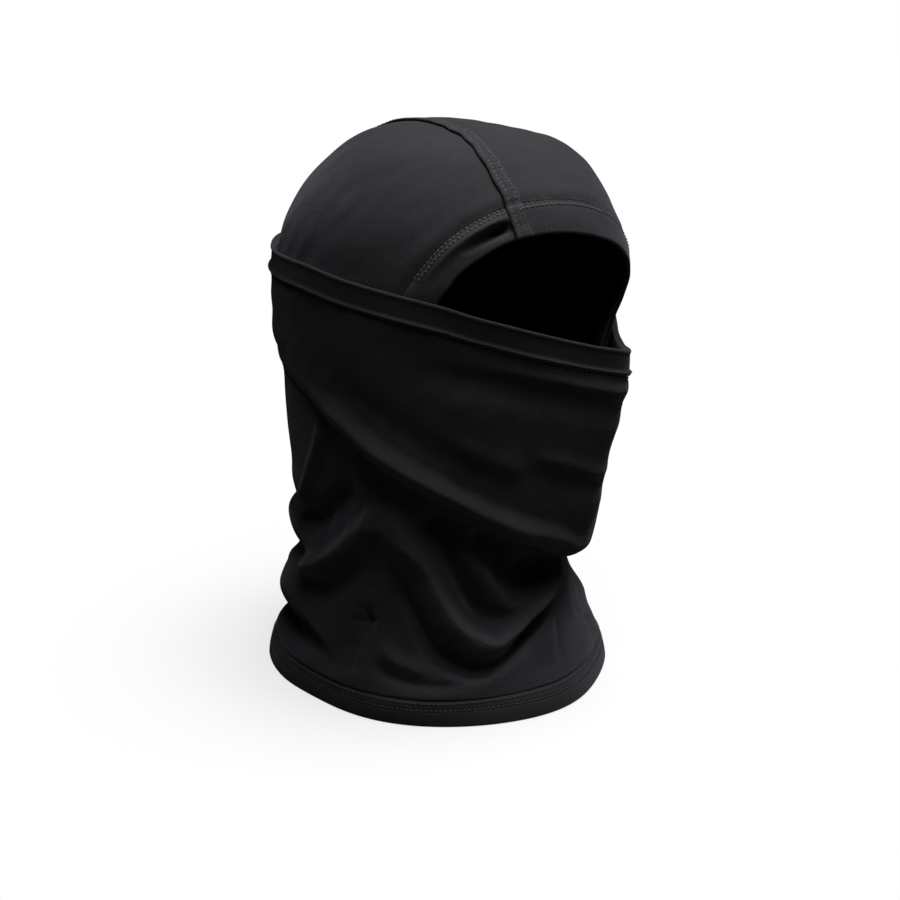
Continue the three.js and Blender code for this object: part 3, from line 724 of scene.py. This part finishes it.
def brow_distance(angle, level):
    """Signed mm from the brow band's stitch line: positive outside the band and the opening."""
    angle = wrap(angle)
    signed, _ = nearest_on(BROW_LINE, angle, level, BROW_ARC)
    (right, right_foot), (left, left_foot) = BROW_STITCH[0], BROW_STITCH[-1]
    # below the band's ends the boundary runs straight down
    low = np.where(angle < -22, level < right_foot, level < left_foot) & (np.abs(angle) < 100)
    side = np.where(angle < 0, (right - angle) * BROW_ARC, (angle - left) * 1.4)
    behind = np.abs(angle) > 110
    return np.where(low, side, np.where(behind, np.maximum(np.abs(signed), 40), signed))


def crown_relief(angle, level):
    """Height of the crown and brow band off the hood form."""
    points = point_on(hood, angle, level)
    distance = brow_distance(angle, level)
    # a groove at the brow stitching between two soft swells
    out = (-0.75 * bell(distance, 1.5) + 0.35 * bell(distance - 4.5, 3.0)
           + 0.35 * bell(distance + 4.0, 3.0))
    out = out + 0.35 * noise(points, 46, 3) + 0.12 * noise(points, 15, 5)
    out = out + 2.4 * bell(wrap(angle - 36), 38.0) * bell(level - 276, 20.0)
    # the cloth draws in a little beside the crown seam
    from_seam = points_from_seam(points)
    return out - 0.5 * bell(from_seam, 9.0) * ramp((level - 222) / 20)


def points_from_seam(points):
    return points[..., 0] - crown_seam_x(points[..., 1])


def neck_relief(angle, level):
    """Displacement of the neck: mm outward, mm downward."""
    angle = wrap(angle)
    below = 11.0 - 6.5 * ramp((angle + 40) / 18.0)   # the big U narrows towards the left
    out = ridge(angle, level, 10.0, 3.6, below, 0.14, 0.16, HANGING_FOLD)
    drop = 0.12 * out
    add_folds(NECK_FOLDS, angle, level, out, drop)
    behind = np.abs(angle)
    back = smooth_ramp((behind - 104) / 26)
    for middle, height, width, lean in NAPE_ROLLS:
        line = middle + lean * wave(angle * 2.3) + 3.0 * wave(angle * 5 + middle * 7)
        out += height * bell(level - line, width) * back
    # side seams: a drawn-in line with puckers, and a dimple on the right
    pucker = 0.5 + 0.5 * np.sin(level * 0.62 + 1.3 * np.sin(level * 0.17))
    for side in (-1, 1):
        distance = (angle - side * side_angle(level)) * NECK_ARC
        out -= (0.40 + 0.25 * pucker) * bell(distance, 0.7) + 0.6 * bell(distance, 6.0) * pucker
    out -= 3.4 * bell((angle + 87.4) * NECK_ARC, 4.2) * bell(level - 46, 5.0)
    # a hollow above the hem at the nape
    back = smooth_ramp((behind - 100) / 24)
    out -= 7.0 * back * bell(level - 25, 5.5)
    points = point_on(hood, angle, level)
    out += (0.9 * noise(points, 40, 11) + 0.35 * noise(points, 17, 12)) * 0.8
    # everything settles at the joining seam, and at the hem, which has waves of its own
    free = smooth_ramp((level - 8.0) / 17.0)
    under_seam = smooth_ramp((joining_level(angle) - level) / 12.0)
    hem_wave = (0.7 * noise(points, 55, 21) + 2.0 * back * ramp(1 - level / 16.0)
                - 5.5 * bell(wrap(angle + 168), 15.0))
    return out * free * under_seam + hem_wave * (1 - free), drop * free * under_seam


def neck_at(angle, level, lift=0.0):
    out, drop = neck_relief(angle, level)
    return raised(hood, angle, level, out + lift, drop)


def mask_relief(angle, level):
    """Displacement of the mask: mm outward, mm downward."""
    angle = wrap(angle)
    out = ridge(angle, level, 6.2, 2.2, 4.2, 0.08, 0.12, MASK_FOOT_FOLD)
    out *= ramp(0.30 + np.abs(angle) / 34)   # lower in front
    drop = 0.35 * out
    add_folds(MASK_FOLDS, angle, level, out, drop)
    out -= 3.6 * bell(angle, 26.0) * bell(level - 83, 14.0)
    for centre, middle, height, width in MASK_ROLLS:
        line = middle + 4 * wave(angle * 3)
        out += height * bell(wrap(angle - centre), 26.0) * bell(level - line, width)
    points = point_on(mask, angle, level)
    out += 0.55 * noise(points, 42, 31) + 0.18 * noise(points, 15, 32)
    # flat under the top hem, with a groove at its stitching
    above = level - (rim_level(angle) - MASK_HEM_HEIGHT)
    return out * ramp(-above / 9.0 + 0.15) - 0.7 * bell(above, 1.4), drop


def mask_at(angle, rise, lift=0.0):
    """rise: 0 at the joining seam, then a curled lip, up to the hem's stitch line at 1."""
    angle, rise = np.broadcast_arrays(np.asarray(angle, float), np.asarray(rise, float))
    lip = 0.17
    seam = joining_level(angle)
    foot = seam + 7.0
    top = rim_level(angle) - MASK_HEM_HEIGHT
    level = foot + (top - foot) * np.clip((rise - lip) / (1 - lip), 0, 1.1)
    out, drop = mask_relief(angle, level)
    wall = raised(mask, angle, level, out + lift, drop)
    # the lip curls from the seam, under and out, to the foot of the mask
    start = neck_at(angle, seam, lift - 0.15)
    out, drop = mask_relief(angle, foot)
    end = raised(mask, angle, foot, out + lift, drop)
    under = (point_on(mask, angle, seam - 2.5)
             + normal_on(mask, angle, seam) * (out * 0.9 + lift)[..., None])
    under[..., 2] -= drop * 1.1
    u = ramp(rise / lip)[..., None]
    curl = (1 - u)**2 * start + 2 * u * (1 - u) * under + u * u * end
    return np.where((rise < lip)[..., None], curl, wall)


# ---------------------------------------------------------------- crown
def build_crown():
    """A dome over the joining seam, opened at the brow line and parted at the crown seam."""
    around, steps = 360, 130
    angle, share = grid(ring(around), np.linspace(0, 1, steps))
    low = joining_level(angle) - 0.5
    level = low + (APEX_LEVEL - 1 - low) * share**0.96
    points = raised(hood, angle, level, crown_relief(angle, level))
    here = np.arange(around * steps).reshape(around, steps)
    there = np.roll(here, -1, 0)
    corner, far = here[:, :-1], there[:, 1:]
    tris = np.concatenate([
        np.stack([corner, there[:, :-1], far], -1).reshape(-1, 3),
        np.stack([corner, far, here[:, 1:]], -1).reshape(-1, 3),
        np.stack([here[:, -1], there[:, -1], np.full(around, around * steps)], -1)])
    apex = points[:, -1].mean(0) + [0, 0, 0.05]
    verts = np.concatenate([points.reshape(-1, 3), apex[None]])
    uv = np.concatenate([pairs(angle * CROWN_ARC, level).reshape(-1, 2), [[0, APEX_LEVEL]]])
    outside = np.concatenate([brow_distance(angle, level).ravel(), [60]])
    extra = np.concatenate([uv, points_from_seam(verts)[:, None]], 1)
    verts, tris, extra = clip(verts, tris, outside - 0.02, extra)
    for name, side in (("right", -1), ("left", 1)):
        part = clip(verts, tris, side * extra[:, 2] + 0.02, extra)
        part_verts, part_tris, part_extra = weld_small(*part, nearest=0.12)
        thicken(f"crown_panel_{name}_cloth", part_verts, part_tris, CLOTH, crown_knit_painted_shade,
                part_extra[:, :2])


build_crown()


# ---------------------------------------------------------------- brow band
def band_place(knot, across):
    """Angle and level; across is 0 at the free edge and 1 at the stitch line."""
    edge, stitch = curve_at(BROW_EDGE, knot), curve_at(BROW_STITCH, knot)
    place = edge + (stitch - edge) * np.asarray(across)[..., None]
    return place[..., 0], place[..., 1]


def band_surface(knot, across, lift=0.0):
    angle, level = band_place(knot, across)
    out = crown_relief(angle, level) + 0.45 * np.sin(np.pi * ramp(across)) + lift
    # the right side of the band curls: a crest, a hollow, then a lip that turns out
    curl = ramp((knot - 2.5) / 1.5) * ramp((7.95 - knot) / 0.7)
    hollow = curl * np.clip((knot - 5.0) / 1.9, 0.06, 1)
    crest = curl * np.clip((knot - 3.2) / 3.0, 0.25, 1)
    out = (out + 1.9 * crest * bell(across - 0.63, 0.12) - 5.8 * hollow * bell(across - 0.36, 0.13)
           + 0.8 * hollow * bell(across, 0.2))
    # it dips at the stitch line
    out = out - 0.95 * ramp((across - 0.975) / 0.03)
    # the left side stands off the face a little
    out = out + 2.4 * ramp((knot - 10.5) / 3.0) * ramp(1 - across)**1.2
    return raised(hood, angle, level, out)


def build_brow_band(name, first, last, count):
    knots = np.linspace(first, last, count)
    steps = np.concatenate([[1.07, 1.045, 1.02, 1.0, 0.985], np.linspace(0.965, 0.0, 34)])
    knot, across = grid(knots, steps)
    skin = band_surface(knot, across)
    normals = grid_normals(skin, False)
    angle, level = band_place(knot, 0.0)
    outward = normal_on(hood, angle, level)
    normals = normals * np.sign((normals * outward).sum(-1, keepdims=True))
    edge_out = unit(skin[:, -1] - skin[:, -3])
    loops = folded_band(skin, normals, normals[:, -1], edge_out, BAND_RADIUS)
    edge_v = np.linspace(0, -3, 7)[None].repeat(count, 0)
    v = np.concatenate([across * 17, edge_v, -3 - across * 17], 1)
    sweep(name, loops, band_knit, False, pairs(knots[:, None] * 7.0, v))


build_brow_band("brow_band_right_cloth", 0.0, BROW_SEAM_KNOT - 0.02, 150)
build_brow_band("brow_band_left_cloth", BROW_SEAM_KNOT + 0.02, 19.0, 230)
for side, first, last in (("right", 3.0, BROW_SEAM_KNOT - 0.25),
                          ("left", BROW_SEAM_KNOT + 0.3, 18.0)):
    for row, across in (("upper", 0.935), ("lower", 0.79)):
        knot = np.linspace(first, last, 300)
        line = band_surface(knot, np.full(300, across), 0.25)
        stitches(f"brow_stitches_{row}_{side}", [line],
                 [normal_on(hood, *band_place(knot, across))], zigzag=0.18)


# ---------------------------------------------------------------- crown seam
def dome_lookup(x, y):
    """Angle and level of the dome's point above (x, y), by halving."""
    def section(level):
        _, centre_y, front, back, half_width = hood(level)
        forward = centre_y - y
        depth = np.where(forward > 0, front, back)
        return x / np.maximum(half_width, 1e-6), forward / np.maximum(depth, 1e-6)

    low, high = np.full(np.shape(x), 205.0), np.full(np.shape(x), APEX_LEVEL)
    for _ in range(40):
        middle = (low + high) / 2
        sideways, forward = section(middle)
        inside = sideways**2 + forward**2 < 1
        low, high = np.where(inside, middle, low), np.where(inside, high, middle)
    return np.degrees(np.arctan2(*section(low))), low


def seam_point(y, lateral, lift):
    """Point and normal by the crown seam: y along it, lateral mm to the wearer's left of it."""
    y, lateral, lift = np.broadcast_arrays(*(np.asarray(a, float) for a in (y, lateral, lift)))
    slope = (crown_seam_x(y + 1) - crown_seam_x(y - 1)) / 2
    length = np.hypot(1, slope)
    angle, level = dome_lookup(crown_seam_x(y) + lateral / length, y - lateral * slope / length)
    out = crown_relief(angle, level) + lift
    return raised(hood, angle, level, out), normal_on(hood, angle, level)


def seam_wobble(y):
    return 0.25 * np.sin(y * 0.55) + 0.2 * np.sin(y * 0.23 + 1)


def build_crown_seam():
    stations = np.concatenate([
        np.linspace(-65.6, -40, 60), np.linspace(-39.4, 70, 170), np.linspace(70.5, 88.2, 50)])
    y, lateral = grid(stations, FELL_SECTION[:, 0])
    height = np.broadcast_to(FELL_SECTION[:, 1], y.shape)
    height = np.where(height > 0.3, height + 0.12 * np.sin(y * 2.4), height)
    # the front end is cut aslant, along the brow band
    slanted = y - 1.9 * ramp((-58 - y) / 7.6) * np.clip(lateral / 6.1, -0.1, 1)
    loops, _ = seam_point(slanted, lateral + seam_wobble(stations)[:, None], height)
    sweep("crown_seam_fell_cloth", loops, band_knit, False, pairs(lateral, y))
    for name, lateral, lift in (("inner", 0.95, 0.95), ("outer", 4.4, 0.72)):
        y = np.linspace(-64, 87, 500)
        line, normals = seam_point(y, lateral + seam_wobble(y), lift)
        stitches(f"crown_seam_stitches_{name}", [line], [normals], zigzag=0.25)


build_crown_seam()


# ---------------------------------------------------------------- mask
def build_mask():
    angle, rise = grid(ring(400), np.linspace(0.0, 1.013, 132))
    points = mask_at(angle, rise)
    weight = ramp((0.3 - rise[:, 1:-1]) / 0.12)[..., None] * 0.5
    for _ in range(3):   # settle the curl at the foot of the mask
        between = (points[:, :-2] + points[:, 2:]) / 2
        points[:, 1:-1] = points[:, 1:-1] * (1 - weight) + weight * between
    sheet("mask_tube_cloth", points, CLOTH, mask_knit, True, pairs(angle * MASK_ARC, rise * 90))
    # the lining lies inside its front
    angle, rise = grid(np.linspace(-88, 88, 200), np.linspace(0.24, 0.985, 50))
    sheet("mask_lining_cloth", mask_at(angle, rise, -1.5), THIN_CLOTH, lining_knit, False,
          pairs(angle * MASK_ARC, rise * 90))


def mask_hem_foot(angle):
    """Level of the hem's stitch line, which wavers a little."""
    return (rim_level(angle) - MASK_HEM_HEIGHT
            + (0.35 * wave(angle * 4 + 20) + 0.25 * wave(angle * 11)) * 0.5)


def mask_hem_relief(rise, angle):
    """rise: 0 at the stitch line, 1 at the rim. A groove, a roll above it and a thicker rim."""
    return (-0.75 * bell(rise, 0.045) + 1.35 * bell(rise - 0.15, 0.07)
            + 0.55 * bell(rise - 0.97, 0.06) + 0.15
            + 0.16 * np.sin(np.radians(angle * 9) + 3 * rise))


def build_mask_hem():
    around = ring(420)
    angle, rise = grid(around, np.linspace(0.01, 1.0, 30))
    level = mask_hem_foot(angle) + MASK_HEM_HEIGHT * rise
    skin = raised(mask, angle, level, mask_hem_relief(rise, angle))
    normals = grid_normals(skin, True)
    edge_out = unit(skin[:, -1] - skin[:, -3])
    loops = folded_band(skin, normals, normals[:, -1], edge_out, BAND_RADIUS)
    uv = pairs(around[:, None] * MASK_ARC, np.linspace(0, 28, loops.shape[1]))
    sweep("mask_top_hem_cloth", loops, top_hem_knit_painted_shade, True, uv)


def build_mask_hem_stitches(name, first, last):
    """Two rows: one on the mask just under the hem, one on the hem itself."""
    angle = np.linspace(first, last, 600)
    below, above = mask_hem_foot(angle) - 0.9, mask_hem_foot(angle) + 0.75
    lines = [raised(mask, angle, below, mask_relief(angle, below)[0] + 0.35),
             raised(mask, angle, above, mask_hem_relief(0.75 / MASK_HEM_HEIGHT, angle) + 0.25)]
    normals = [normal_on(mask, angle, level) for level in (below, above)]
    stitches(name, lines, normals, zigzag=0.12)


build_mask()
build_mask_hem()
build_mask_hem_stitches("mask_hem_stitches_front", -92.5, 92.5)
build_mask_hem_stitches("mask_hem_stitches_back", 93.5, 266.5)


# ---------------------------------------------------------------- neck
def panel_ends(seam, back):
    """First and last angle of a front or back panel whose side seams are at +-seam."""
    return (seam, 360 - seam) if back else (-seam, seam)


def build_neck_panel(name, back, count):
    across, rise = grid(np.linspace(0, 1, count), np.linspace(0, 1, 130))
    across = across - 0.75 * np.sin(2 * np.pi * across) / (2 * np.pi)   # finer beside the seams
    first, last = panel_ends(side_angle(120.0), back)
    top = joining_level(first + (last - first) * across) + 0.7
    foot = HEM_HEIGHT - 2.4
    level = foot + (top - foot) * rise
    first, last = panel_ends(side_angle(level) + (-0.02 if back else 0.02), back)
    angle = first + (last - first) * across
    tucked = -1.25 * ramp((HEM_HEIGHT + 0.4 - level) / 0.7)   # in behind the hem band
    sheet(name, neck_at(angle, level, tucked), CLOTH, neck_knit_painted_light, False,
          pairs(angle * NECK_ARC, level))


def build_side_tape(name, side):
    """Tape inside a side seam."""
    across, level = grid(np.linspace(-1, 1, 9), np.linspace(HEM_HEIGHT + 2, 128, 90))
    points = neck_at(side * side_angle(level) + across * 3.5, level,
                     -1.35 - 0.25 * np.cos(across * 9))
    sheet(name, points, THIN_CLOTH, band_knit, False, pairs(across * 4.5, level))


def build_joining_stitches():
    """Two rows below the joining seam, sunk a little in front."""
    angle = ring(700)
    levels = [joining_level(angle) - below for below in (1.6, 5.2)]
    lift = 0.25 - 0.75 * np.exp(-(angle / 52.0)**4)
    stitches("joining_seam_stitches", [neck_at(angle, level, lift) for level in levels],
             [normal_on(hood, angle, level) for level in levels], pitch=2.5, closed=True)


build_neck_panel("neck_panel_front_cloth", False, 300)
build_neck_panel("neck_panel_back_cloth", True, 290)
build_side_tape("side_seam_tape_right_cloth", -1)
build_side_tape("side_seam_tape_left_cloth", 1)
build_joining_stitches()


# ---------------------------------------------------------------- bottom hem
def hem_surface(angle, z):
    out, _ = neck_relief(angle, np.maximum(z, 0.2))
    rise = z / HEM_HEIGHT
    # a full roll, pinched at its top and at the lower stitching
    bulge = (-0.6 * bell(rise - 1.0, 0.05) + 0.9 * np.sin(np.pi * ramp(rise))**0.7
             - 0.35 * bell(rise - 0.66, 0.07))
    points = raised(hood, angle, z, out + bulge)
    points[..., 2] = z
    return points


def build_hem_band(name, back):
    first, last = panel_ends(SIDE_SEAM[0][1], back)
    angle, z = grid(np.linspace(first - 0.02, last + 0.02, 260),
                    np.linspace(HEM_HEIGHT - 0.15, 1.2, 30))
    skin = hem_surface(angle, z)
    normals = -grid_normals(skin, False)   # the grid runs downwards
    level_normal = unit(normals[:, -1] * [1, 1, 0])
    loops = folded_band(skin, normals, level_normal, np.array([0, 0, -1.0]), radius=1.2)
    uv = pairs(angle[:, :1] * HEM_ARC, np.linspace(0, 29, loops.shape[1]))
    sweep(name, loops, bottom_hem_knit_painted_light, False, uv)


build_hem_band("hem_band_front_cloth", False)
build_hem_band("hem_band_back_cloth", True)
for row, height in (("upper", 12.3), ("lower", 9.0)):
    angle, z = ring(800), np.full(800, height)
    normals = normal_on(hood, angle, z)
    stitches(f"hem_stitches_{row}", [hem_surface(angle, z) + normals * 0.25], [normals],
             pitch=2.4, closed=True, zigzag=0.1)


def attach(piece, slot, edge, *nodes):
    """Hides the frame nodes that a piece replaces; edge is None where the piece only rides the hood,
    else its transform is baked.
    """
    ob = bpy.data.objects[piece]
    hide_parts(*nodes)
    if edge is None:
        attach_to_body(ob, "hood")
    else:
        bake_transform(ob)


def attach_cloth(slot, edge, *nodes):
    for node in nodes:
        attach(node + "_cloth", slot, edge, node)


def attach_threads(edge, *nodes):
    for node in nodes:
        attach(node.replace("thread", "stitches"), "thread", edge, node)


attach_cloth("knit", "brow_edge", "crown_panel_right", "crown_panel_left")
attach_cloth("hem_knit", "brow_edge", "crown_seam_fell")
attach_threads("brow_edge", "crown_seam_thread_inner", "crown_seam_thread_outer")
attach_cloth("hem_knit", "brow_edge", "brow_band_right", "brow_band_left")
attach_threads("brow_edge", "brow_thread_upper_right", "brow_thread_lower_right",
               "brow_thread_upper_left", "brow_thread_lower_left")
attach("mask_tube_cloth", "knit", "mask", "mask_panel_front", "mask_panel_back")
attach_cloth("mask_lining_knit", "mask", "mask_lining")
attach("mask_top_hem_cloth", "hem_knit", "mask", "mask_hem_front", "mask_hem_back")
attach_threads("mask", "mask_hem_thread_front", "mask_hem_thread_back", "joining_seam_thread")
attach_cloth("knit", "mask", "neck_panel_front", "neck_panel_back")
attach_cloth("hem_knit", "mask", "side_seam_tape_right", "side_seam_tape_left")
attach_cloth("hem_knit", None, "hem_band_front", "hem_band_back")
attach_threads(None, "hem_thread_upper", "hem_thread_lower")

# ---------------------------------------------------------------- stage, light, camera (metres)
scene = bpy.context.scene
scene.view_settings.view_transform = "Standard"
WHITE = (1, 1, 1, 1)


def floor_material():
    """Paper that glows white for the camera, less so near the hood, where its shadow shows."""
    material = bpy.data.materials.new("floor_paper")
    material.use_nodes = True
    tree = material.node_tree
    tree.nodes.clear()
    camera_ray = add_node(tree, "LightPath").outputs["Is Camera Ray"]
    position = add_node(tree, "NewGeometry").outputs["Position"]
    distance = add_node(tree, "VectorMath", {0: position}, operation="LENGTH").outputs["Value"]
    near, far, near_glow, far_glow = 0.08, 0.24, 0.72, 1.0
    glow = add_node(tree, "MapRange", enumerate((distance, near, far, near_glow, far_glow)))
    # the paper is darker to all other rays, so it throws little light back
    grey, camera_extra = 0.08, 0.38
    paper = add_node(tree, "BsdfDiffuse", {
        "Color": add_math(tree, "MULTIPLY_ADD", camera_ray, camera_extra, grey)})
    light = add_node(tree, "Emission", {"Color": WHITE, "Strength": 1.0})
    share = add_math(tree, "MULTIPLY", glow.outputs[0], camera_ray)
    mix = add_node(tree, "MixShader", {0: share, 1: paper.outputs[0], 2: light.outputs[0]})
    add_node(tree, "OutputMaterial", {0: mix.outputs[0]})
    return material


def build_world():
    """Faint white light, but a full white backdrop for the camera."""
    world = bpy.data.worlds.new("studio")
    scene.world = world
    world.use_nodes = True
    tree = world.node_tree
    tree.nodes.clear()
    ambient = add_node(tree, "Background", {"Color": WHITE, "Strength": 0.022})
    backdrop = add_node(tree, "Background", {"Color": WHITE, "Strength": 1.0})
    mix = add_node(tree, "MixShader", {
        0: add_node(tree, "LightPath").outputs["Is Camera Ray"],
        1: ambient.outputs[0], 2: backdrop.outputs[0]})
    add_node(tree, "OutputWorld", {0: mix.outputs[0]})


def place_aimed(name, data, location, target):
    ob = bpy.data.objects.new(name, data)
    scene.collection.objects.link(ob)
    ob.location = location
    ob.rotation_mode = "QUATERNION"
    ob.rotation_quaternion = (Vector(target) - ob.location).to_track_quat("-Z", "Y")
    return ob


def add_softbox(name, location, target, size, power):
    light = bpy.data.lights.new(name, "AREA")
    light.shape = "RECTANGLE"
    light.size = light.size_y = size
    light.energy = power
    place_aimed(name, light, location, target)


bpy.ops.mesh.primitive_plane_add(size=12, location=(0, 0, 0))
floor = bpy.context.object
floor.name = "floor"
floor.data.materials.append(floor_material())
build_world()
add_softbox("top_softbox", location=(0.11, -0.26, 1.40), target=(0, 0, 0.15), size=0.60, power=41)
add_softbox("front_fill", location=(0.55, -1.25, 0.70), target=(0, 0, 0.1), size=0.8, power=1.8)
add_softbox("side_fill", location=(-0.55, -0.40, 1.35), target=(0, 0, 0.10), size=0.5, power=9.0)

camera = bpy.data.cameras.new("camera")
camera.sensor_width = 36.0
camera.lens = 60.12
azimuth, elevation, distance = math.radians(-57), math.radians(19.2), 0.78
target = Vector((0, 0, 0.1162))
direction = Vector((math.sin(azimuth) * math.cos(elevation),
                    -math.cos(azimuth) * math.cos(elevation), math.sin(elevation)))
scene.camera = place_aimed("camera", camera, target + distance * direction, target)
